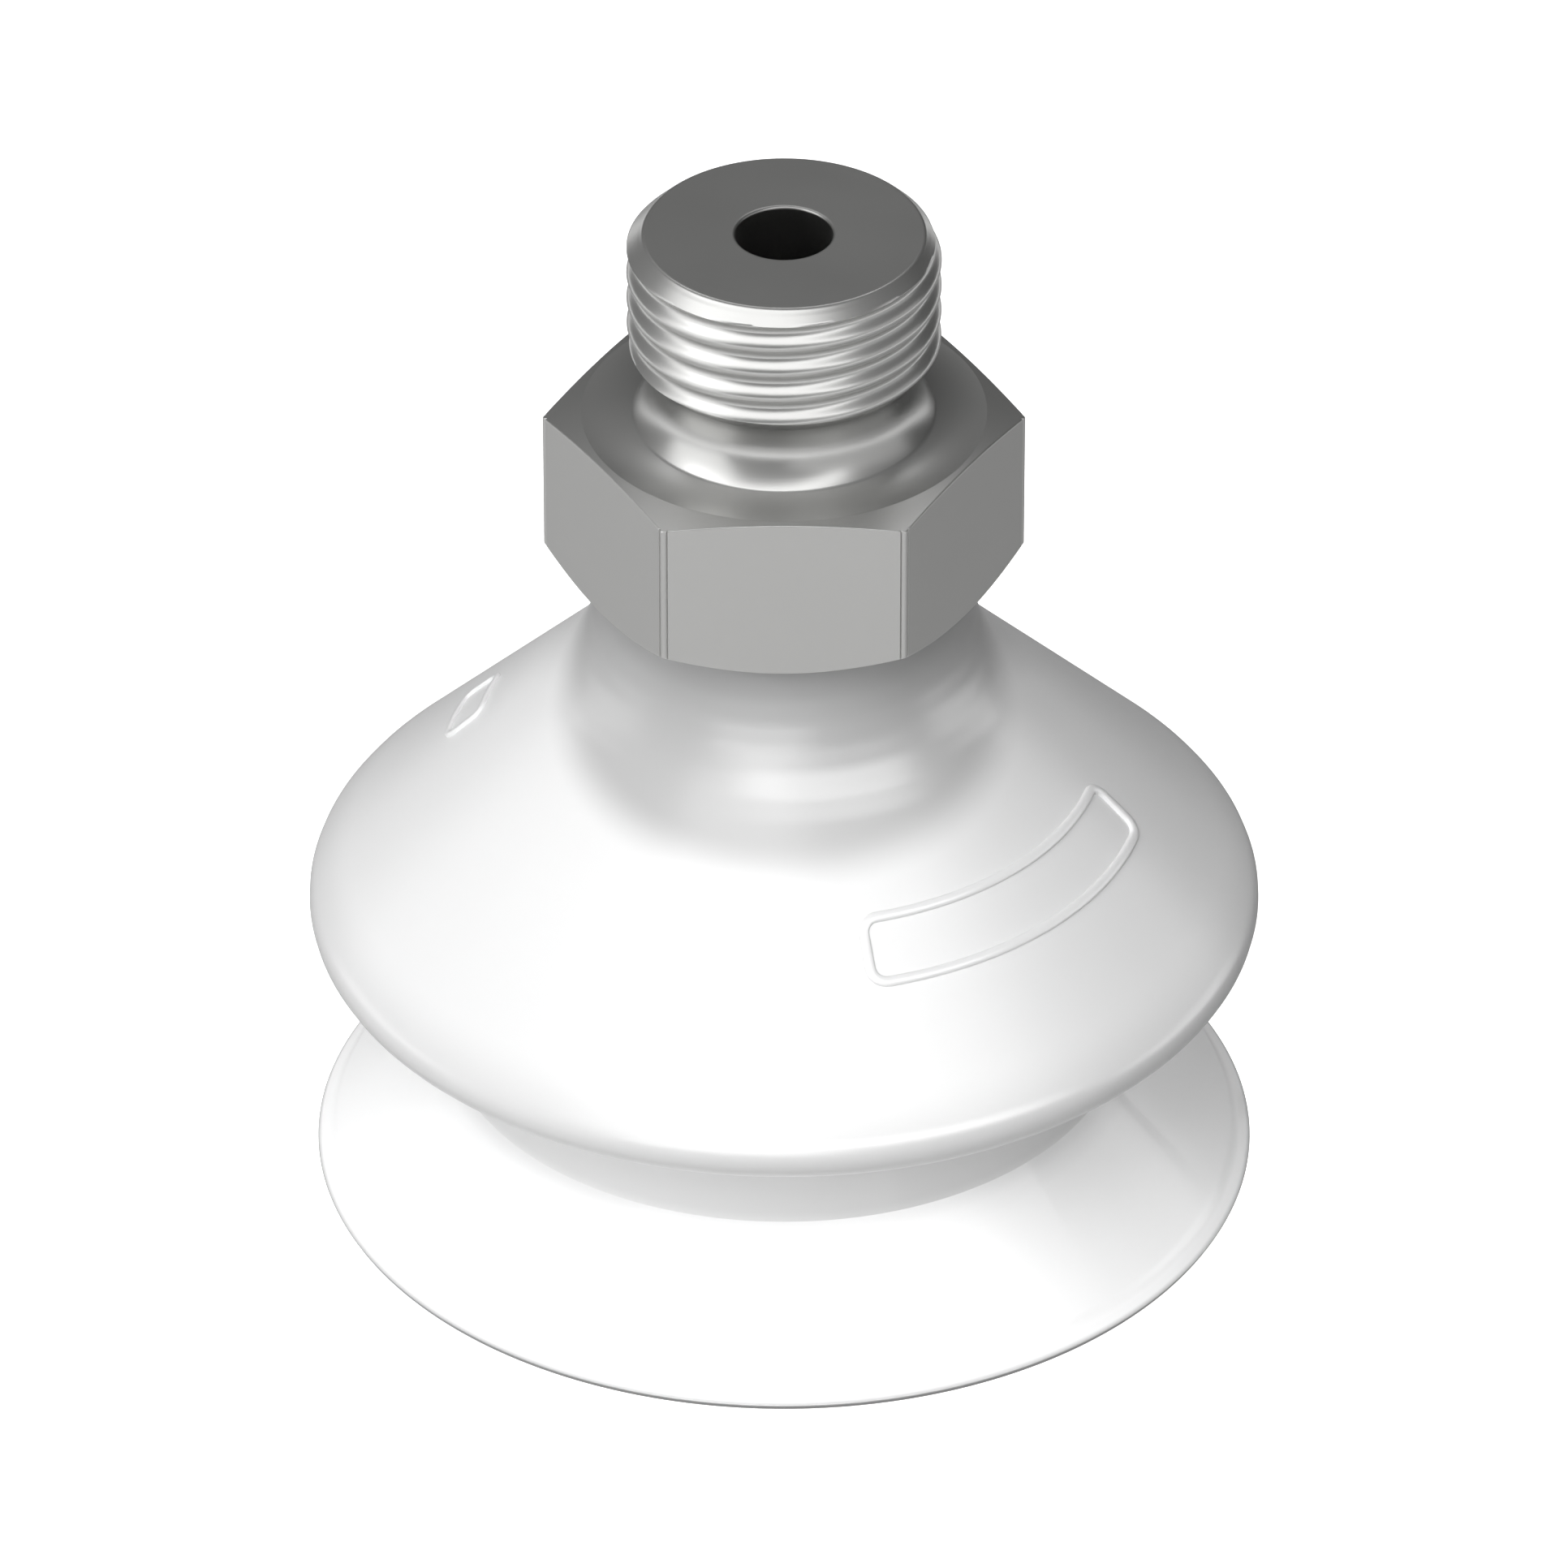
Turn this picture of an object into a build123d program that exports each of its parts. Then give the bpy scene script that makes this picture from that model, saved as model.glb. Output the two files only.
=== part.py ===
from build123d import *
import math
import os

# A bellows vacuum suction cup with one and a half folds, on a threaded holder. Lengths are in mm, angles in degrees.
# The origin is the centre of the lip's sealing plane, +Z runs up the vacuum bore to the threaded end,
# and the hexagon has two flats square to Y.
# The cup is one moulding. It is cut into rings so that it can fold: the stiff rings (neck, crest, waist, heel and
# lip) are joined by thin walls that change shape between them.

# Whole object
total_height = 34.05
bore_radius = 1.5

# Holder: G1/8 male thread (28 per inch, 55 degree flanks)
thread_radius = 4.864
thread_pitch = 25.4 / 28
thread_depth = 0.581
thread_flank = 27.5
thread_crest_width = 0.15
thread_length = 3.9
thread_chamfer = 0.5
thread_top_radius = 4.35
thread_start_angle = 133
thread_cutter_margin = 0.1

# Holder: undercut, flare, hexagon
undercut_radius = 4.1
undercut_height = 1.3
undercut_lead = 0.2  # from the undercut to the foot of the thread chamfer
flare_bow_radius = 0.3  # how far out and up the middle of the flare's arc lies, as a share of its size
flare_bow_height = 0.45
flare_radius = 4.75
hex_flats = 13.0
hex_top = 27.55
hex_bottom = 21.95
hex_chamfer_circle = 6.3
hex_top_chamfer_angle = 12.0
hex_bottom_chamfer_angle = 30.0

# Holder: nipple inside the neck, with a collar that holds the cup on
nipple_radius = 3.3
collar_radius = 4.6
collar_top = 19.35
collar_bottom = 17.75
nipple_bottom = 15.75
nipple_tip_radius = 2.6
fit_gap = 0.05  # running clearance between the nipple and the neck

# Cup, outside
neck_top = 21.9
neck_top_radius = 5.75
neck_foot_radius = 5.95
neck_edge_round = 0.35
neck_fillet = 6.5
cone_sum = 24.93  # on the 45 degree upper cone, radius + height
crest_radius = 15.05
crest_round = 0.85
fold_angle = 35.0  # slope of the wall under the crest
waist_radius = 10.8
waist_fillet = 0.6
skirt_top = 4.28  # where the upright band meets the 45 degree skirt
lip_radius = 14.96
lip_back_radius = 14.42
lip_back_height = 0.6
lip_edge_height = 0.18
lip_face_radius = 14.86

# Cup, inside
cone_wall = 1.2
fold_wall = 1.05
band_wall = 1.15
inner_round = 0.4
skirt_inner_top = 3.7
lip_inner_radius = 14.2

# Heights that cut the moulding into rings, from the top down
neck_cut = 18.15
crest_cut_top = 10.1
crest_cut_bottom = 8.8
waist_cut_top = 6.35
waist_cut_bottom = 5.9
heel_cut_top = 4.7
heel_cut_bottom = 3.9
lip_cut = 0.6

os.makedirs("parts", exist_ok=True)


def holder_blank():
    """The turned outline of the holder above the nipple, without its hexagon."""
    hex_corner = hex_flats / math.sqrt(3)
    top_rise = (hex_corner - hex_chamfer_circle) * math.tan(math.radians(hex_top_chamfer_angle))
    bottom_rise = (hex_corner - hex_chamfer_circle) * math.tan(math.radians(hex_bottom_chamfer_angle))
    thread_bottom = total_height - thread_length
    with BuildPart() as blank:
        with BuildSketch(Plane.XZ):
            with BuildLine():
                Polyline(
                    (0, hex_bottom),
                    (hex_chamfer_circle, hex_bottom),
                    (hex_corner, hex_bottom + bottom_rise),
                    (hex_corner, hex_top - top_rise),
                    (hex_chamfer_circle, hex_top),
                    (flare_radius, hex_top),
                )
                flare_top = (undercut_radius, hex_top + undercut_height)
                middle = (
                    undercut_radius + flare_bow_radius * (flare_radius - undercut_radius),
                    hex_top + flare_bow_height * undercut_height,
                )
                ThreePointArc((flare_radius, hex_top), middle, flare_top)
                Polyline(
                    flare_top,
                    (undercut_radius, thread_bottom - thread_chamfer - undercut_lead),
                    (thread_radius, thread_bottom),
                    (thread_radius, total_height - thread_chamfer),
                    (thread_top_radius, total_height),
                    (0, total_height),
                    (0, hex_bottom),
                )
            make_face()
        revolve(axis=Axis.Z)
    return blank.part


def hexagon_envelope():
    """The flats of the hexagon, with room around the thread above it."""
    with BuildPart() as envelope:
        with BuildSketch(Plane.XY.offset(hex_bottom)):
            RegularPolygon(hex_flats / 2, 6, major_radius=False, rotation=0)
        extrude(amount=total_height - hex_bottom)
    return envelope.part


def thread_groove():
    """The helical V groove between the crests of the thread, running out past both ends."""
    start = total_height - thread_length - thread_pitch
    turns_height = thread_length + 2 * thread_pitch
    root_half = 0.5 * (thread_pitch - thread_crest_width) - thread_depth * math.tan(math.radians(thread_flank))
    mouth_half = 0.5 * (thread_pitch - thread_crest_width)
    over_half = mouth_half + thread_cutter_margin * math.tan(math.radians(thread_flank))
    with BuildPart() as groove:
        with BuildLine():
            path = Helix(thread_pitch, turns_height, thread_radius, center=(0, 0, start))
        with BuildSketch(Plane(origin=path @ 0, x_dir=(1, 0, 0), z_dir=path % 0)):
            with BuildLine():
                Polyline(
                    (-thread_depth, root_half),
                    (thread_cutter_margin, over_half),
                    (thread_cutter_margin, -over_half),
                    (-thread_depth, -root_half),
                    (-thread_depth, root_half),
                )
            make_face()
        sweep(path=path, is_frenet=True)
    return groove.part


def nipple_outline():
    """The nipple and its retaining collar, with a long lead-in taper that the neck stretches over."""
    with BuildPart() as nipple:
        with BuildSketch(Plane.XZ):
            with BuildLine():
                Polyline(
                    (0, hex_bottom),
                    (nipple_radius, hex_bottom),
                    (nipple_radius, collar_top),
                    (collar_radius, collar_top),
                    (collar_radius, collar_bottom),
                    (nipple_tip_radius, nipple_bottom),
                    (0, nipple_bottom),
                    (0, hex_bottom),
                )
            make_face()
        revolve(axis=Axis.Z)
    return nipple.part


blank_solid = holder_blank()
envelope_solid = hexagon_envelope()
groove_solid = thread_groove()
nipple_solid = nipple_outline()

with BuildPart() as threaded_holder:
    add(blank_solid)
    add(envelope_solid, mode=Mode.INTERSECT)
    add(groove_solid, rotation=(0, 0, thread_start_angle), mode=Mode.SUBTRACT)
    add(nipple_solid)
    with BuildSketch(Plane.XY.offset(nipple_bottom)):
        Circle(bore_radius)
    extrude(amount=total_height - nipple_bottom, mode=Mode.SUBTRACT)
threaded_holder.part.label = "threaded_holder"
export_step(threaded_holder.part, "parts/threaded_holder.step")


def moulding():
    """The whole cup as one moulded wall, revolved about the bore."""
    slope = math.radians(fold_angle)
    # the round of the crest touches the upper cone, the wall below it and the widest radius
    centre_r = crest_radius - crest_round
    centre_z = cone_sum - centre_r - crest_round * math.sqrt(2)
    fold_r = centre_r + crest_round * math.sin(slope)
    fold_z = centre_z - crest_round * math.cos(slope)
    corner_r = (cone_sum - fold_z + fold_r * math.tan(slope)) / (1 + math.tan(slope))
    corner = (corner_r, cone_sum - corner_r)
    waist_z = fold_z - (fold_r - waist_radius) * math.tan(slope)
    # the inner face of the wall below the crest
    inner_r = fold_r - fold_wall * math.sin(slope)
    inner_z = fold_z + fold_wall * math.cos(slope)
    inner_sum = cone_sum - cone_wall * math.sqrt(2)
    inner_corner_r = (inner_sum - inner_z + inner_r * math.tan(slope)) / (1 + math.tan(slope))
    inner_corner = (inner_corner_r, inner_sum - inner_corner_r)
    band_inner = waist_radius - band_wall
    inner_waist_z = inner_z - (inner_r - band_inner) * math.tan(slope)

    seat_radius = nipple_radius + fit_gap
    recess_radius = collar_radius + fit_gap
    seat_bottom = collar_top + fit_gap
    neck_corner = (neck_top_radius, neck_top)
    neck_foot = (neck_foot_radius, cone_sum - neck_foot_radius)
    waist_corner = (waist_radius, waist_z)
    inner_waist = (band_inner, inner_waist_z)
    with BuildPart() as whole:
        with BuildSketch(Plane.XZ) as outline:
            with BuildLine():
                Polyline(
                    (seat_radius, neck_top),
                    neck_corner,
                    neck_foot,
                    corner,
                    waist_corner,
                    (waist_radius, skirt_top),
                    (lip_back_radius, lip_back_height),
                    (lip_radius, lip_edge_height),
                    (lip_face_radius, 0),
                    (lip_inner_radius, 0),
                    (band_inner, skirt_inner_top),
                    inner_waist,
                    inner_corner,
                    (recess_radius, inner_sum - recess_radius),
                    (recess_radius, seat_bottom),
                    (seat_radius, seat_bottom),
                    (seat_radius, neck_top),
                )
            make_face()
            for point, radius in (
                (neck_corner, neck_edge_round),
                (neck_foot, neck_fillet),
                (corner, crest_round),
                (waist_corner, waist_fillet),
                (inner_waist, inner_round),
                (inner_corner, inner_round),
            ):
                fillet(outline.vertices().sort_by_distance(point)[0], radius)
        revolve(axis=Axis.Z)
    return whole.part


def write_ring(name, low, high):
    """One ring of the moulding, between two heights."""
    with BuildPart() as ring:
        add(cup_solid)
        with BuildSketch(Plane.XY.offset(low)):
            Circle(2 * crest_radius)
        extrude(amount=high - low, mode=Mode.INTERSECT)
    ring.part.label = name
    export_step(ring.part, f"parts/{name}.step")


cup_solid = moulding()
write_ring("cup_neck", neck_cut, neck_top)
write_ring("cup_upper_wall", crest_cut_top, neck_cut)
write_ring("cup_crest", crest_cut_bottom, crest_cut_top)
write_ring("cup_lower_wall", waist_cut_top, crest_cut_bottom)
write_ring("cup_waist", waist_cut_bottom, waist_cut_top)
write_ring("cup_band", heel_cut_top, waist_cut_bottom)
write_ring("cup_heel", heel_cut_bottom, heel_cut_top)
write_ring("cup_skirt", lip_cut, heel_cut_bottom)
write_ring("cup_lip", 0, lip_cut)
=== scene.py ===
"""A bellows vacuum suction cup of white silicone on a threaded metal holder, in a white studio."""

import math

import bpy
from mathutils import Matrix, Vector


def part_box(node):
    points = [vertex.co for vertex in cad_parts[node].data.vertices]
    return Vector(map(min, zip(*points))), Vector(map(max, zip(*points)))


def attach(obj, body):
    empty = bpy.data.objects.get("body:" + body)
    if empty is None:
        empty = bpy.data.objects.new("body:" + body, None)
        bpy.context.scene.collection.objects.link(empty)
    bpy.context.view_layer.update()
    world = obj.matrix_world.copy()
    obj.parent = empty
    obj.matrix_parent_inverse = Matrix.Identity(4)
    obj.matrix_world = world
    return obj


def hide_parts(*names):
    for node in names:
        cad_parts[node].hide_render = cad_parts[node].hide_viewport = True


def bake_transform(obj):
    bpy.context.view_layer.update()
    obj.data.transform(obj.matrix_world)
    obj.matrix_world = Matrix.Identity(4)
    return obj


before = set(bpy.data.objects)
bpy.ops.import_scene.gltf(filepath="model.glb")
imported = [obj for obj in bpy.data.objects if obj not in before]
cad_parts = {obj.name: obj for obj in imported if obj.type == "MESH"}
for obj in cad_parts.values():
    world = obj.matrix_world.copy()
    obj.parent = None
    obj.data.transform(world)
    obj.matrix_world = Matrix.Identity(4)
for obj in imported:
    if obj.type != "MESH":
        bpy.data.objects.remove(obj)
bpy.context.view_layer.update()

MM = 0.001
AROUND = 360  # steps around a turned surface


# ---------------------------------------------------------------- sizes, from the frame where it has them


def top(node):
    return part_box(node)[1].z


def bottom(node):
    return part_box(node)[0].z


def widest(node):
    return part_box(node)[1].y


total_height = top("threaded_holder")
nipple_bottom = bottom("threaded_holder")
neck_top = top("cup_neck")
crest_cut_bottom = bottom("cup_crest")
waist_cut_top = top("cup_waist")
crest_radius = round(widest("cup_crest"), 5)
hex_half = round(widest("threaded_holder"), 5)

# the cup's outside
neck_top_radius = 5.75 * MM
neck_foot_radius = 5.95 * MM
neck_edge_round = 0.35 * MM
neck_fillet = 6.5 * MM
cone_sum = 24.93 * MM  # on the 45 degree upper cone, radius + height
crest_round = 0.85 * MM
fold_slope = math.radians(35)
waist_radius = 10.8 * MM
waist_fillet = 0.6 * MM
skirt_top = 4.28 * MM
lip_radius = 14.96 * MM
lip_back_radius = 14.42 * MM
lip_back_height = 0.6 * MM
lip_edge_height = 0.18 * MM
lip_edge_round = 0.06 * MM
lip_face_radius = 14.86 * MM
lip_face_round = 0.04 * MM

# the cup's inside
cone_wall = 1.2 * MM
fold_wall = 1.05 * MM
band_wall = 1.15 * MM
fold_round = 0.4 * MM
skirt_inner_top = 3.7 * MM
skirt_inner_round = 0.3 * MM
lip_inner_radius = 14.2 * MM
seat_radius = 3.35 * MM
recess_radius = 4.65 * MM
seat_bottom = 19.4 * MM
inner_edge_round = 0.1 * MM

# the holder above the hexagon
bore_radius = 1.5 * MM
bore_edge_round = 0.1 * MM
thread_radius = 4.864 * MM
thread_top_radius = 4.35 * MM
thread_top_round = 0.16 * MM
thread_chamfer = 0.5 * MM
thread_chamfer_start = 0.12 * MM  # below this depth the chamfer's rows follow the thread
thread_length = 3.9 * MM
thread_depth = 0.581 * MM
thread_share = 0.5  # the rounded roots fill the rest of the depth
thread_pitch = 25.4 / 28 * MM
thread_rows = 120
undercut_radius = 4.1 * MM
undercut_height = 1.3 * MM
undercut_foot = 0.7 * MM
flare_radius = 4.75 * MM
flare_rows = 14

# the hexagon and the nipple
hex_top = 27.55 * MM
hex_bottom = 21.95 * MM
hex_circle = 6.3 * MM
hex_circle_round = 0.2 * MM
hex_top_slope = math.radians(12)
hex_bottom_slope = math.radians(30)
hex_corner_round = 0.12 * MM
hex_corner_columns = (0, 0.15, 0.3, 0.45, 0.6, 0.75, 0.93, 1.2)  # degrees to each side of a corner
hex_corner_span = 1.3  # degrees to each side of a corner without the even columns
holder_edge_round = 0.06 * MM
nipple_radius = 3.3 * MM
collar_radius = 4.6 * MM
collar_top = 19.35 * MM
collar_bottom = 17.75 * MM
nipple_tip_radius = 2.6 * MM
bore_foot_chamfer = 0.05 * MM


# ---------------------------------------------------------------- mesh tools


def reach_of(corners, i):
    """How far from this corner its rounding starts."""
    r, z, rounding = corners[i]
    if rounding <= 0 or i in (0, len(corners) - 1):
        return 0.0
    here = Vector((r, z))
    half = (Vector(corners[i - 1][:2]) - here).angle(Vector(corners[i + 1][:2]) - here) / 2
    return rounding / math.tan(half)


def rounded(corners, steps=6):
    """Points along an outline of (radius, height, rounding) corners, with each rounding as a
    tangent arc. A row a little past each end of an arc keeps the faces beside it flat."""
    points = []
    for i, (r, z, rounding) in enumerate(corners):
        here = Vector((r, z))
        reach = reach_of(corners, i)
        if not reach:
            points.append(here)
            continue
        before = Vector(corners[i - 1][:2]) - here
        after = Vector(corners[i + 1][:2]) - here
        room_before = before.length - reach - reach_of(corners, i - 1)
        room_after = after.length - reach - reach_of(corners, i + 1)
        before.normalize()
        after.normalize()
        middle = here + (before + after).normalized() * (rounding / math.sin(before.angle(after) / 2))
        start = here + before * reach - middle
        points.append(here + before * (reach + min(0.25 * reach, 0.4 * room_before)))
        sweep = start.angle_signed(here + after * reach - middle)
        for k in range(steps + 1):
            turn = -sweep * k / steps
            c, s = math.cos(turn), math.sin(turn)
            points.append(middle + Vector((c * start.x - s * start.y, s * start.x + c * start.y)))
        points.append(here + after * (reach + min(0.25 * reach, 0.4 * room_after)))
    return points


def divided(points, step):
    """The same outline with no run longer than step."""
    result = [points[0]]
    for a, b in zip(points, points[1:]):
        count = max(1, math.ceil((b - a).length / step))
        result += [a.lerp(b, k / count) for k in range(1, count + 1)]
    return result


def add_mesh(name, vertices, faces, material):
    """A new object in the scene."""
    mesh = bpy.data.meshes.new(name)
    mesh.from_pydata(vertices, [], faces)
    mesh.materials.append(material)
    piece = bpy.data.objects.new(name, mesh)
    bpy.context.scene.collection.objects.link(piece)
    return piece


def turned(name, outline_at, material, angles):
    """A closed ring round the axis. outline_at(angle) runs up the inside and down the outside, with
    as many points at every angle."""
    vertices, faces = [], []
    for angle in angles:
        outline = outline_at(angle)
        vertices += [(p.x * math.cos(angle), p.x * math.sin(angle), p.y) for p in outline]
    count = len(outline)
    for i in range(len(angles)):
        j = (i + 1) % len(angles)
        for k in range(count):
            m = (k + 1) % count
            faces.append((i * count + k, i * count + m, j * count + m, j * count + k))
    piece = add_mesh(name, vertices, faces, material)
    piece.data.shade_smooth()
    return piece


def sharpen(piece, degrees):
    """Edges that turn by more than this stay crisp."""
    piece.data.set_sharp_from_angle(angle=math.radians(degrees))


# ---------------------------------------------------------------- materials


class Graph:
    """A node tree, with short ways to add the nodes that are used here. Each way gives an output."""

    def __init__(self, tree):
        self.nodes = tree.nodes
        self.link = tree.links.new

    def coordinates(self, output):
        return self.nodes.new("ShaderNodeTexCoord").outputs[output]

    def noise(self, coordinates, scale, detail):
        texture = self.nodes.new("ShaderNodeTexNoise")
        texture.inputs["Scale"].default_value = scale
        texture.inputs["Detail"].default_value = detail
        self.link(coordinates, texture.inputs["Vector"])
        return texture.outputs["Fac"]

    def remap(self, value, start, end, low, high, smooth=True):
        """low where value is start, high where it is end."""
        node = self.nodes.new("ShaderNodeMapRange")
        if smooth:
            node.interpolation_type = "SMOOTHSTEP"
        for socket, number in (("From Min", start), ("From Max", end), ("To Min", low), ("To Max", high)):
            node.inputs[socket].default_value = number
        self.link(value, node.inputs["Value"])
        return node.outputs["Result"]

    def between(self, noise, low, high):
        """Most of the noise's values, spread over low to high."""
        return self.remap(noise, 0.2, 0.8, low, high)

    def mix(self, factor, first, second):
        """Between two colours."""
        node = self.nodes.new("ShaderNodeMix")
        node.data_type = "RGBA"
        node.inputs["A"].default_value = first
        node.inputs["B"].default_value = second
        self.link(factor, node.inputs["Factor"])
        return node.outputs["Result"]

    def multiply(self, colour, other):
        """An output, or a plain colour, times an output."""
        node = self.nodes.new("ShaderNodeMix")
        node.data_type = "RGBA"
        node.blend_type = "MULTIPLY"
        node.inputs["Factor"].default_value = 1.0
        if isinstance(colour, tuple):
            node.inputs["A"].default_value = colour
        else:
            self.link(colour, node.inputs["A"])
        self.link(other, node.inputs["B"])
        return node.outputs["Result"]

    def vector_math(self, operation, vector, constant=(0, 0, 0), output="Vector"):
        node = self.nodes.new("ShaderNodeVectorMath")
        node.operation = operation
        node.inputs[1].default_value = constant
        self.link(vector, node.inputs[0])
        return node.outputs[output]

    def height(self, place):
        split = self.nodes.new("ShaderNodeSeparateXYZ")
        self.link(place, split.inputs["Vector"])
        return split.outputs["Z"]

    def from_axis(self, place):
        """Distance from the vacuum bore's axis."""
        level = self.vector_math("MULTIPLY", place, (1, 1, 0))
        return self.vector_math("LENGTH", level, output="Value")

    def ring_coordinates(self, place):
        """Radius and height alone, for marks that run round the axis as a lathe tool leaves them."""
        along = self.nodes.new("ShaderNodeCombineXYZ")
        self.link(self.from_axis(place), along.inputs["X"])
        self.link(self.height(place), along.inputs["Y"])
        return along.outputs["Vector"]

    def bump(self, height, strength, below=None):
        """A relief about 0.01 mm deep, on top of the one below."""
        node = self.nodes.new("ShaderNodeBump")
        node.inputs["Strength"].default_value = strength
        node.inputs["Distance"].default_value = 0.01 * MM
        self.link(height, node.inputs["Height"])
        if below:
            self.link(below, node.inputs["Normal"])
        return node.outputs["Normal"]

    def ramp(self, value, greys):
        """A smooth grey that follows (place, grey) steps between 0 and 1."""
        node = self.nodes.new("ShaderNodeValToRGB")
        node.color_ramp.interpolation = "B_SPLINE"
        elements = node.color_ramp.elements
        (first_place, first_grey), *steps, (last_place, last_grey) = greys
        for stop, place, grey in (
            (elements[0], first_place, first_grey),
            *((elements.new(place), place, grey) for place, grey in steps),
        ):
            stop.position = place
            stop.color = (grey, grey, grey, 1)
        elements[-1].position = last_place
        elements[-1].color = (last_grey, last_grey, last_grey, 1)
        self.link(value, node.inputs["Fac"])
        return node.outputs["Color"]


def new_material(name):
    material = bpy.data.materials.new(name)
    material.use_nodes = True
    return material, Graph(material.node_tree), material.node_tree.nodes["Principled BSDF"].inputs


# painted shade and light on the silicone (height in mm, grey), from the lip up to the neck: lighter on the
# thin skirt, darker under the crest, on the crest's roll and round the neck under the hexagon
SILICONE_TOP = 22
SILICONE_PAINTED_SHADE = (
    (0.0, 0.96),
    (3.9, 0.95),
    (4.6, 0.70),
    (8.6, 0.67),
    (9.6, 0.61),
    (10.5, 0.76),
    (11.2, 0.82),
    (18.0, 0.80),
    (20.5, 0.61),
    (SILICONE_TOP, 0.47),
)
SILICONE_TINTS = (0.975, 0.978, 0.98, 1), (1, 1, 1, 1)
HOLDER_SHADOW_SHIFT = (0, 1.85 * MM, 0)  # puts the painted shade round the neck a little in front of the axis
METAL_COLOUR = (0.60, 0.60, 0.59, 1)


def silicone_material():
    """White silicone: smooth and glossy, with painted shade by height, painted shade round the neck for the
    holder seen through it, a painted dark line at the lip's edge and a painted glow on the thin skirt.
    """
    material, graph, shader = new_material("silicone")
    place = graph.coordinates("Object")
    height = graph.height(place)
    cloudy = graph.noise(place, 120, detail=1)
    fine = graph.noise(place, 2500, detail=3)
    # painted shade by height: darker under the crest, on its roll and round the neck below the hexagon, and
    # lighter on the thin skirt
    scaled = graph.nodes.new("ShaderNodeMath")
    scaled.operation = "DIVIDE"
    scaled.inputs[1].default_value = SILICONE_TOP * MM
    graph.link(height, scaled.inputs[0])
    painted_shade_colour = graph.ramp(scaled.outputs["Value"], [(z / SILICONE_TOP, grey) for z, grey in SILICONE_PAINTED_SHADE])
    # painted shade round the neck, standing for the holder seen through the silicone and the shade under
    # the hexagon, and a painted dark line of shade at the lip's edge
    neck_shade_distance = graph.from_axis(graph.vector_math("ADD", place, HOLDER_SHADOW_SHIFT))
    painted_shade_colour = graph.multiply(painted_shade_colour, graph.remap(neck_shade_distance, 6.2 * MM, 7.5 * MM, 0.60, 1.0))
    # painted shade: a dark line along the foot of the lip where it meets the floor
    painted_shade_colour = graph.multiply(painted_shade_colour, graph.remap(height, 0.12 * MM, 0.30 * MM, 0.25, 1.0))
    tint = graph.mix(cloudy, *SILICONE_TINTS)
    graph.link(graph.multiply(painted_shade_colour, tint), shader["Base Color"])
    # painted glow: the thin skirt emits a little light in its painted colour, standing for light that comes
    # through it
    graph.link(graph.remap(height, 3.4 * MM, 4.4 * MM, 0.10, 0.0), shader["Emission Strength"])
    graph.link(painted_shade_colour, shader["Emission Color"])
    graph.link(graph.between(cloudy, 0.285, 0.315), shader["Roughness"])
    # faint rings copied from the turned mould, under a fine matt grain
    rings = graph.noise(graph.ring_coordinates(place), 4000, detail=1)
    graph.link(graph.bump(fine, 0.10, graph.bump(rings, 0.10)), shader["Normal"])
    shader["IOR"].default_value = 1.41
    return material


def metal_material():
    """Machined light metal: fine turning marks on the turned faces, with uneven gloss."""
    material, graph, shader = new_material("holder_metal")
    place = graph.coordinates("Object")
    # painted shade in the bore: the base colour is darker inside the drilled hole
    bore_painted_shade = graph.remap(graph.from_axis(place), 1.53 * MM, 1.6 * MM, 0.7, 1.0, smooth=False)
    graph.link(graph.multiply(METAL_COLOUR, bore_painted_shade), shader["Base Color"])
    patches = graph.noise(place, 260, detail=2)
    graph.link(graph.between(patches, 0.28, 0.32), shader["Roughness"])
    rings = graph.noise(graph.ring_coordinates(place), 7000, detail=1)
    graph.link(graph.bump(rings, 0.08), shader["Normal"])
    shader["Metallic"].default_value = 1.0
    return material


silicone = silicone_material()
metal = metal_material()


# ---------------------------------------------------------------- threaded holder


def hex_radius(angle):
    """Distance from the axis to the hexagon's side at this angle, with slightly rounded corners."""
    # corners lie on +X and every 60 degrees
    from_corner = (angle + math.pi / 6) % (math.pi / 3) - math.pi / 6
    flat = hex_half / math.cos(math.pi / 6 - abs(from_corner))
    centre = (hex_half - hex_corner_round) / math.cos(math.pi / 6)
    across = centre * math.sin(from_corner)
    if abs(across) >= hex_corner_round:
        return flat
    return min(flat, centre * math.cos(from_corner) + math.sqrt(hex_corner_round**2 - across**2))


def thread_surface(angle, z):
    """Radius of the thread: crests and roots rounded, wound right-handed."""
    phase = (z / thread_pitch - angle / (2 * math.pi)) % 1
    ridge = 0.5 - 0.5 * math.cos(2 * math.pi * phase)
    return thread_radius - thread_depth * thread_share * (1 - ridge)


thread_foot = total_height - thread_length - undercut_foot


def thread_envelope(z):
    """The chamfered cylinder that the thread is cut in."""
    at_top = thread_top_radius + (total_height - z) * (thread_radius - thread_top_radius) / thread_chamfer
    at_foot = undercut_radius + (z - thread_foot) * (thread_radius - undercut_radius) / undercut_foot
    return min(thread_radius, at_top, at_foot)


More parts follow.
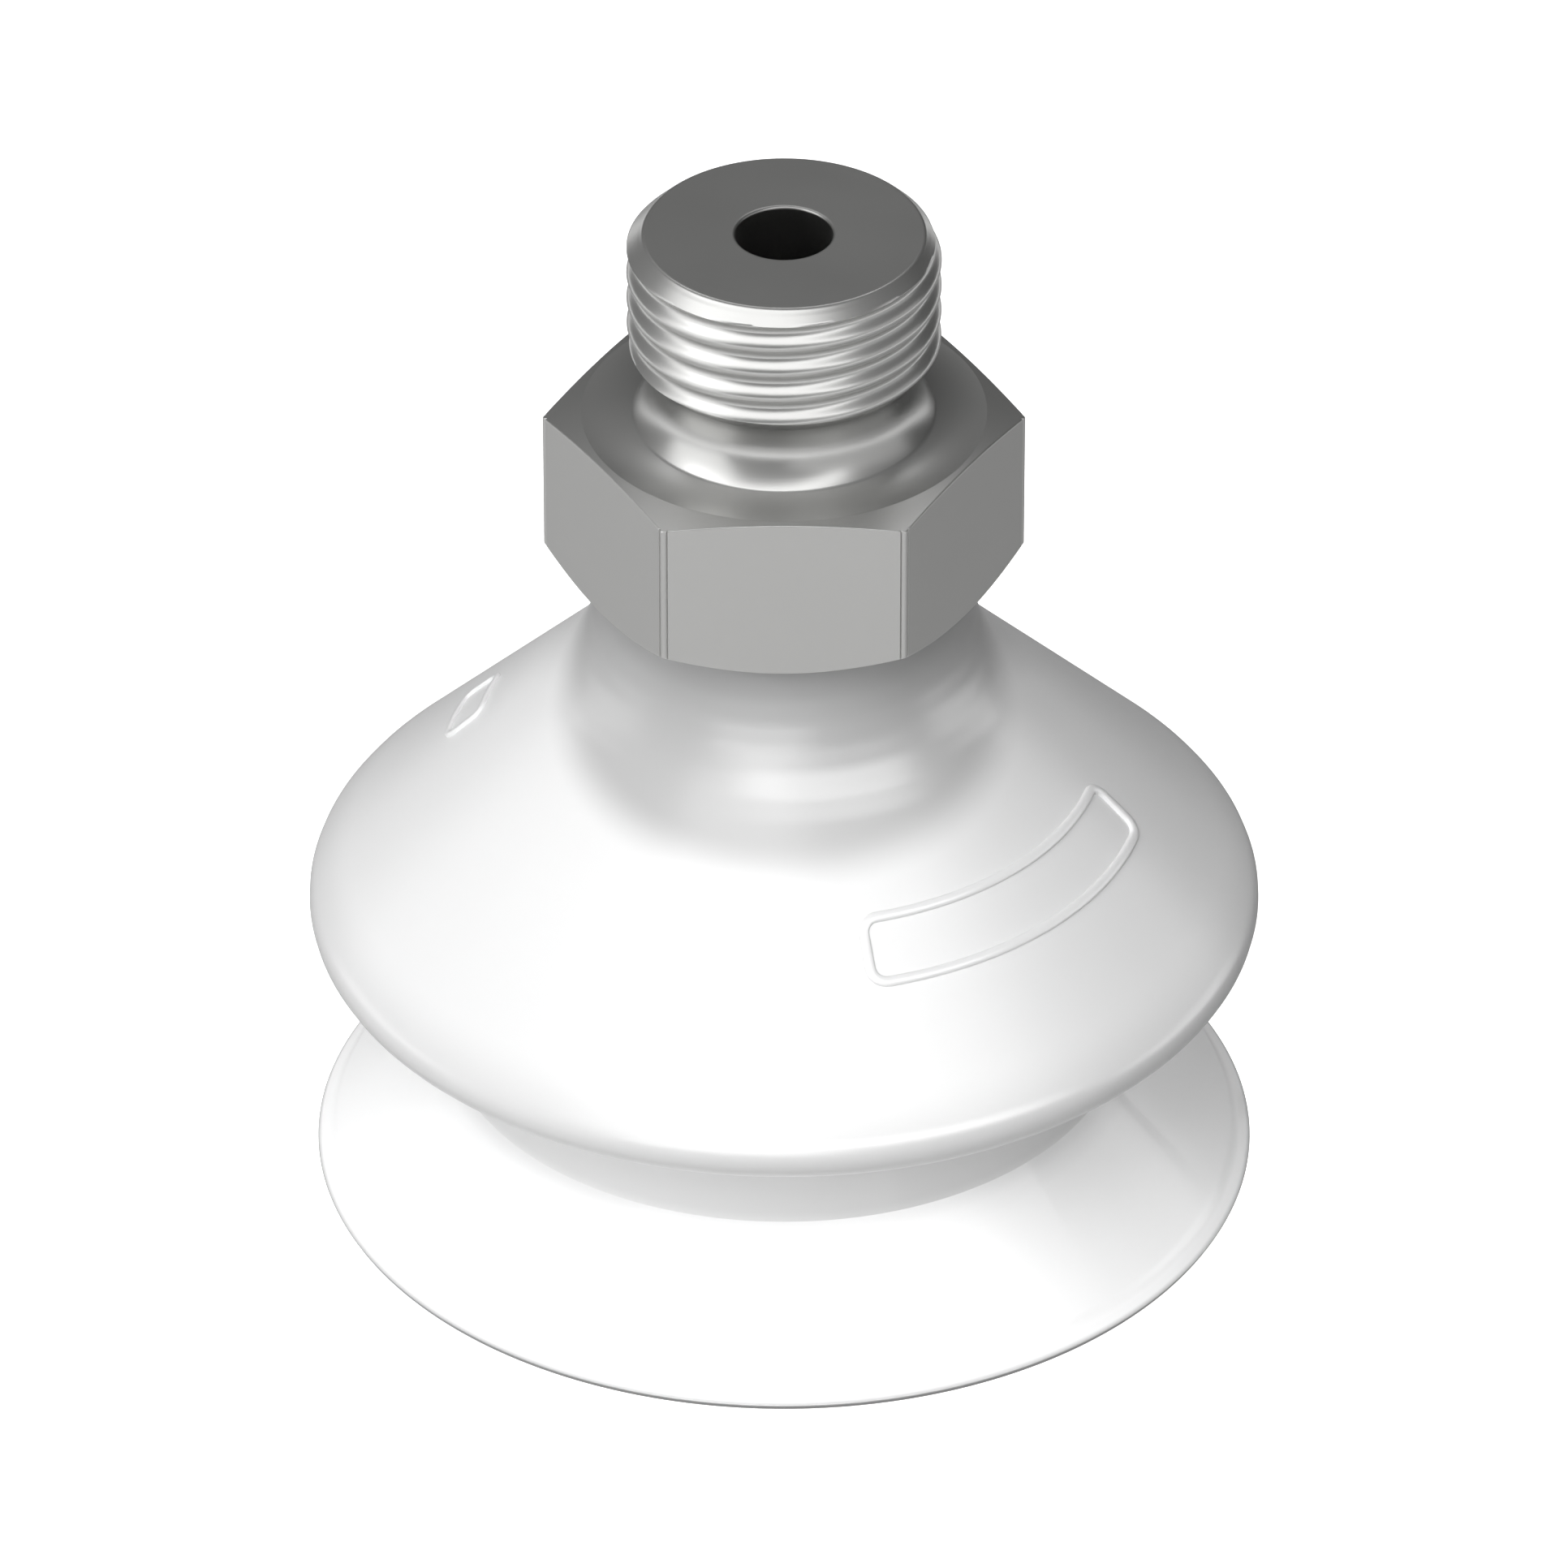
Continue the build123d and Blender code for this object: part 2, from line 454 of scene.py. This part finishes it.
def holder_outline(angle):
    corner = hex_radius(angle)
    thread_start = total_height - thread_chamfer_start
    top_part = rounded(
        [
            (bore_radius, nipple_bottom, 0),
            (bore_radius, total_height, bore_edge_round),
            (thread_top_radius, total_height, thread_top_round),
            (thread_top_radius + thread_chamfer_start, thread_start, 0),
        ]
    )
    thread_part = []
    for k in range(1, thread_rows):
        z = thread_start + (thread_foot - thread_start) * k / thread_rows
        thread_part.append(Vector((min(thread_envelope(z), thread_surface(angle, z)), z)))
    flare_part = []
    for k in range(flare_rows):
        share = k / flare_rows
        radius = undercut_radius + (flare_radius - undercut_radius) * share**2
        flare_part.append(Vector((radius, hex_top + undercut_height * (1 - share))))
    upper_corner = hex_top - (corner - hex_circle) * math.tan(hex_top_slope)
    lower_corner = hex_bottom + (corner - hex_circle) * math.tan(hex_bottom_slope)
    low_part = rounded(
        [
            (flare_radius, hex_top, 0),
            (hex_circle, hex_top, hex_circle_round),
            (corner, upper_corner, holder_edge_round),
            (corner, lower_corner, holder_edge_round),
            (hex_circle, hex_bottom, holder_edge_round),
            (nipple_radius, hex_bottom, 0),
            (nipple_radius, collar_top, 0),
            (collar_radius, collar_top, holder_edge_round),
            (collar_radius, collar_bottom, holder_edge_round),
            (nipple_tip_radius, nipple_bottom, holder_edge_round),
            (bore_radius + bore_foot_chamfer, nipple_bottom, 0),
        ]
    )
    return top_part + thread_part + flare_part + low_part


# even columns, with closer ones at the hexagon's corners
even_degrees = [360 * i / AROUND for i in range(AROUND)]
holder_degrees = {round(a, 3) for a in even_degrees if abs((a + 30) % 60 - 30) > hex_corner_span}
for corner_degrees in range(0, 360, 60):
    for step in hex_corner_columns:
        holder_degrees |= {round((corner_degrees + side * step) % 360, 3) for side in (-1, 1)}
holder = turned("holder_body", holder_outline, metal, [math.radians(a) for a in sorted(holder_degrees)])
sharpen(holder, 50)
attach(holder, "holder")
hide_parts("threaded_holder")


# ---------------------------------------------------------------- silicone cup

crest_middle = Vector((crest_radius - crest_round, 0))
crest_middle.y = cone_sum - crest_middle.x - crest_round * math.sqrt(2)
fold_start = crest_middle + crest_round * Vector((math.sin(fold_slope), -math.cos(fold_slope)))
inner_sum = cone_sum - cone_wall * math.sqrt(2)
inner_start = fold_start + fold_wall * Vector((-math.sin(fold_slope), math.cos(fold_slope)))
band_inner = waist_radius - band_wall


def fold_height(start, radius):
    """Height of a wall under the crest, at this radius."""
    return start.y - (start.x - radius) * math.tan(fold_slope)


def fold_radius(start, height):
    return start.x - (start.y - height) / math.tan(fold_slope)


def cone_meets_fold(total, start):
    """Where a 45 degree cone meets a wall under the crest."""
    r = (total - start.y + start.x * math.tan(fold_slope)) / (1 + math.tan(fold_slope))
    return r, total - r


fine_step = 0.2 * MM

bell_corners = [
    (fold_radius(inner_start, crest_cut_bottom), crest_cut_bottom, 0),
    (*cone_meets_fold(inner_sum, inner_start), fold_round),
    (recess_radius, inner_sum - recess_radius, inner_edge_round),
    (recess_radius, seat_bottom, inner_edge_round),
    (seat_radius, seat_bottom, inner_edge_round),
    (seat_radius, neck_top, inner_edge_round),
    (neck_top_radius, neck_top, neck_edge_round),
    (neck_foot_radius, cone_sum - neck_foot_radius, neck_fillet),
    (*cone_meets_fold(cone_sum, fold_start), crest_round),
    (fold_radius(fold_start, crest_cut_bottom), crest_cut_bottom, 0),
]
fold_corners = [
    (band_inner, waist_cut_top, 0),
    (band_inner, fold_height(inner_start, band_inner), fold_round),
    (fold_radius(inner_start, crest_cut_bottom), crest_cut_bottom, 0),
    (fold_radius(fold_start, crest_cut_bottom), crest_cut_bottom, 0),
    (fold_radius(fold_start, waist_cut_top), waist_cut_top, 0),
]
band_corners = [
    (band_inner, skirt_top, 0),
    (band_inner, waist_cut_top, 0),
    (fold_radius(fold_start, waist_cut_top), waist_cut_top, 0),
    (waist_radius, fold_height(fold_start, waist_radius), waist_fillet),
    (waist_radius, skirt_top, 0),
]
skirt_corners = [
    ((lip_inner_radius + lip_face_radius) / 2, 0, 0),
    (lip_inner_radius, 0, inner_edge_round),
    (band_inner, skirt_inner_top, skirt_inner_round),
    (band_inner, skirt_top, 0),
    (waist_radius, skirt_top, 0),
    (lip_back_radius - 0.02 * MM, lip_back_height + 0.02 * MM, 0),
    (lip_back_radius + 0.03 * MM, lip_back_height - 0.1 * MM, 0),
    (lip_radius, lip_edge_height, lip_edge_round),
    (lip_face_radius, 0, lip_face_round),
]

silicone_pieces = []


def cup_ring(name, corners, nodes):
    """One closed ring of the cup's wall, turned from its rounded outline, in place of the frame's nodes,
    which it hides."""
    outline = divided(rounded(corners), fine_step)
    angles = [2 * math.pi * i / AROUND for i in range(AROUND)]
    ring = turned(name, lambda angle: outline, silicone, angles)
    silicone_pieces.append(ring)
    sharpen(ring, 40)
    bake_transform(ring)
    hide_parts(*nodes)


bell_nodes = ["cup_neck", "cup_upper_wall", "cup_crest"]
fold_nodes = ["cup_lower_wall", "cup_waist"]
cup_ring("cup_bell", bell_corners, bell_nodes)
cup_ring("cup_fold", fold_corners, fold_nodes)
cup_ring("cup_band", band_corners, ["cup_band", "cup_heel"])
cup_ring("cup_skirt", skirt_corners, ["cup_skirt", "cup_lip"])


def raised_frame(name, around, outer, inner, round_corner, line, height):
    """A raised rounded-rectangle outline on the upper cone. around is (from, to), in degrees round
    the axis from -Y towards +X, and outer and inner are its radii on the cone."""
    sunk = 0.06 * MM
    section = [
        (-0.5, -sunk),
        (-0.46, height * 0.6),
        (-0.3, height),
        (0.3, height),
        (0.46, height * 0.6),
        (0.5, -sunk),
    ]
    middle_r = (outer + inner) / 2
    half_v = (outer - inner) / 2 * math.sqrt(2) - line / 2
    half_u = math.radians(around[1] - around[0]) / 2 * middle_r - line / 2
    middle_a = math.radians((around[0] + around[1]) / 2) - math.pi / 2
    path = []
    corner_steps = 8
    for side_u, side_v, start in ((1, 1, 0), (-1, 1, 90), (-1, -1, 180), (1, -1, 270)):
        for k in range(corner_steps + 1):
            turn = math.radians(start + 90 * k / corner_steps)
            u = side_u * (half_u - round_corner) + round_corner * math.cos(turn)
            v = side_v * (half_v - round_corner) + round_corner * math.sin(turn)
            path.append(Vector((u, v)))
    path = divided(path + [path[0]], fine_step)[:-1]
    vertices, faces = [], []
    count = len(path)
    for i, point in enumerate(path):
        along = (path[(i + 1) % count] - path[i - 1]).normalized()
        across = Vector((along.y, -along.x))
        for offset, lift in section:
            u, v = point + across * (offset * line)
            angle = middle_a + u / middle_r
            on_cone = middle_r - v / math.sqrt(2)  # up the cone is towards the axis
            rise = lift / math.sqrt(2)
            radius = on_cone + rise
            vertices.append((radius * math.cos(angle), radius * math.sin(angle), cone_sum - on_cone + rise))
    sides = len(section)
    for i in range(count):
        j = (i + 1) % count
        for k in range(sides):
            m = (k + 1) % sides
            faces.append((i * sides + k, j * sides + k, j * sides + m, i * sides + m))
    mark = add_mesh(name, vertices, faces, silicone)
    mark.data.shade_smooth()
    silicone_pieces.append(mark)
    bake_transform(mark)


raised_frame("cup_label_frame", (13, 78), 11.5 * MM, 9.8 * MM, 0.5 * MM, 0.35 * MM, 0.12 * MM)
raised_frame("cup_mould_mark", (-113, -98), 10.9 * MM, 9.6 * MM, 0.4 * MM, 0.25 * MM, 0.1 * MM)


# ---------------------------------------------------------------- studio

LIGHTS_AIM = Vector((0, 0, 0.014))
KEY_DISTANCE = 1.2
KEY_SIZE = (0.9, 0.9)
PANEL_DISTANCE = 0.4
ROOM_BRIGHT_SIDE = Vector((-0.45, -0.35, 0.82)).normalized()
ROOM_DIM, ROOM_BRIGHT = 0.075, 0.32
CARD_DIM, CARD_BRIGHT = 0.37, 0.72
FLOOR_GREYS = (0.84, 0.84, 0.84, 1), (0.86, 0.86, 0.86, 1)
FLOOR_HALF = 3.0
CARD_INNER, CARD_OUTER, CARD_HEIGHT = 0.01485, 0.2, 0.00003
CARD_STEPS = 64
CAMERA_LENS = 332.1
CAMERA_ELEVATION = math.radians(34.376)
CAMERA_DISTANCE = 0.4566
CAMERA_TARGET = Vector((0, 0, 0.0135))


def area_light(name, azimuth, elevation, distance, size, power):
    """A soft light seen from the object at this azimuth (0 is the camera's side, 90 is +X) and
    elevation."""
    data = bpy.data.lights.new(name, "AREA")
    data.shape = "RECTANGLE"
    data.size, data.size_y = size
    data.energy = power
    light = bpy.data.objects.new(name, data)
    bpy.context.scene.collection.objects.link(light)
    a, e = math.radians(azimuth), math.radians(elevation)
    direction = Vector((math.sin(a) * math.cos(e), -math.cos(a) * math.cos(e), math.sin(e)))
    light.location = LIGHTS_AIM + direction * distance
    light.rotation_mode = "QUATERNION"
    light.rotation_quaternion = direction.to_track_quat("Z", "Y")
    return light


# the room: dim on the right and behind, brighter towards the front left and above
world = bpy.data.worlds.new("studio")
world.use_nodes = True
room = Graph(world.node_tree)
facing = room.vector_math("DOT_PRODUCT", room.coordinates("Generated"), ROOM_BRIGHT_SIDE, "Value")
room.link(room.remap(facing, -0.6, 1.0, ROOM_DIM, ROOM_BRIGHT), room.nodes["Background"].inputs["Strength"])
room.nodes["Background"].inputs["Color"].default_value = (1, 1, 1, 1)
bpy.context.scene.world = world


def reflector_material():
    """Grey card round the foot, lighter towards the front and left, that the camera doesn't see."""
    material, graph, shader = new_material("reflector_card")
    side = graph.vector_math("DOT_PRODUCT", graph.coordinates("Object"), (-0.55, -0.83, 0), "Value")
    graph.link(graph.remap(side, -0.04, 0.04, CARD_DIM, CARD_BRIGHT), shader["Base Color"])
    shader["Roughness"].default_value = 1.0
    return material


def floor_material():
    """A pale floor that is lit evenly to white."""
    material, graph, shader = new_material("studio_floor")
    grain = graph.noise(graph.coordinates("Object"), 40, detail=6)
    graph.link(graph.mix(grain, *FLOOR_GREYS), shader["Base Color"])
    shader["Roughness"].default_value = 0.8
    shader["Emission Color"].default_value = (1, 1, 1, 1)
    shader["Emission Strength"].default_value = 0.6
    return material


card_points, card_faces = [], []
for i in range(CARD_STEPS):
    c, s = math.cos(2 * math.pi * i / CARD_STEPS), math.sin(2 * math.pi * i / CARD_STEPS)
    card_points += [(r * c, r * s, CARD_HEIGHT) for r in (CARD_INNER, CARD_OUTER)]
    j = (i + 1) % CARD_STEPS
    card_faces.append((2 * i, 2 * i + 1, 2 * j + 1, 2 * j))
card = add_mesh("reflector_card", card_points, card_faces, reflector_material())
card.visible_camera = False
card.visible_shadow = False

floor_points = [(x * FLOOR_HALF, y * FLOOR_HALF, 0) for x, y in ((-1, -1), (1, -1), (1, 1), (-1, 1))]
floor = add_mesh("floor", floor_points, [(0, 1, 2, 3)], floor_material())

# each light reaches only the pieces in its own collection
lit = {}
for group, pieces in (
    ("silicone", silicone_pieces),
    ("metal", [holder]),
    ("not_metal", [*silicone_pieces, card, floor]),
):
    lit[group] = bpy.data.collections.new("lit_" + group)
    for piece in pieces:
        lit[group].objects.link(piece)

key = area_light("key", -25, 50, KEY_DISTANCE, KEY_SIZE, 5.1)
key_fill = area_light("key_fill", -25, 48, KEY_DISTANCE, KEY_SIZE, 9.9)
key_fill.data.use_shadow = False  # it lifts the key's shadows
for light in (key, key_fill):
    light.light_linking.receiver_collection = lit["not_metal"]

# panels that only show as reflections: group, azimuth, elevation, size, power
for name, group, azimuth, elevation, size, power in (
    ("front_panel", "silicone", 22, 37, (0.6, 0.14), 2.8),
    ("low_panel", "silicone", -12, 14, (0.36, 0.07), 0.8),
    ("right_panel", "silicone", 100, 7, (0.3, 0.12), 0.55),
    ("left_panel", "silicone", -100, 7, (0.3, 0.12), 0.35),
    ("metal_key", "metal", -16, 58, (0.9, 0.12), 0.64),
    ("metal_back", "metal", -172, 60, (0.34, 0.07), 0.09),
    ("metal_left", "metal", -70, 26, (0.36, 0.3), 0.36),
    ("metal_right", "metal", 55, 18, (0.9, 0.24), 0.25),
):
    panel = area_light(name, azimuth, elevation, PANEL_DISTANCE, size, power)
    panel.visible_diffuse = False
    panel.light_linking.receiver_collection = lit[group]

camera_data = bpy.data.cameras.new("camera")
camera_data.sensor_width = 36
camera_data.lens = CAMERA_LENS
camera_data.clip_start = 0.01
camera_data.clip_end = 10
camera = bpy.data.objects.new("camera", camera_data)
bpy.context.scene.collection.objects.link(camera)
back = Vector((0, -math.cos(CAMERA_ELEVATION), math.sin(CAMERA_ELEVATION)))
camera.location = CAMERA_TARGET + back * CAMERA_DISTANCE
camera.rotation_mode = "QUATERNION"
camera.rotation_quaternion = back.to_track_quat("Z", "Y")
bpy.context.scene.camera = camera
bpy.context.scene.view_settings.view_transform = "Standard"
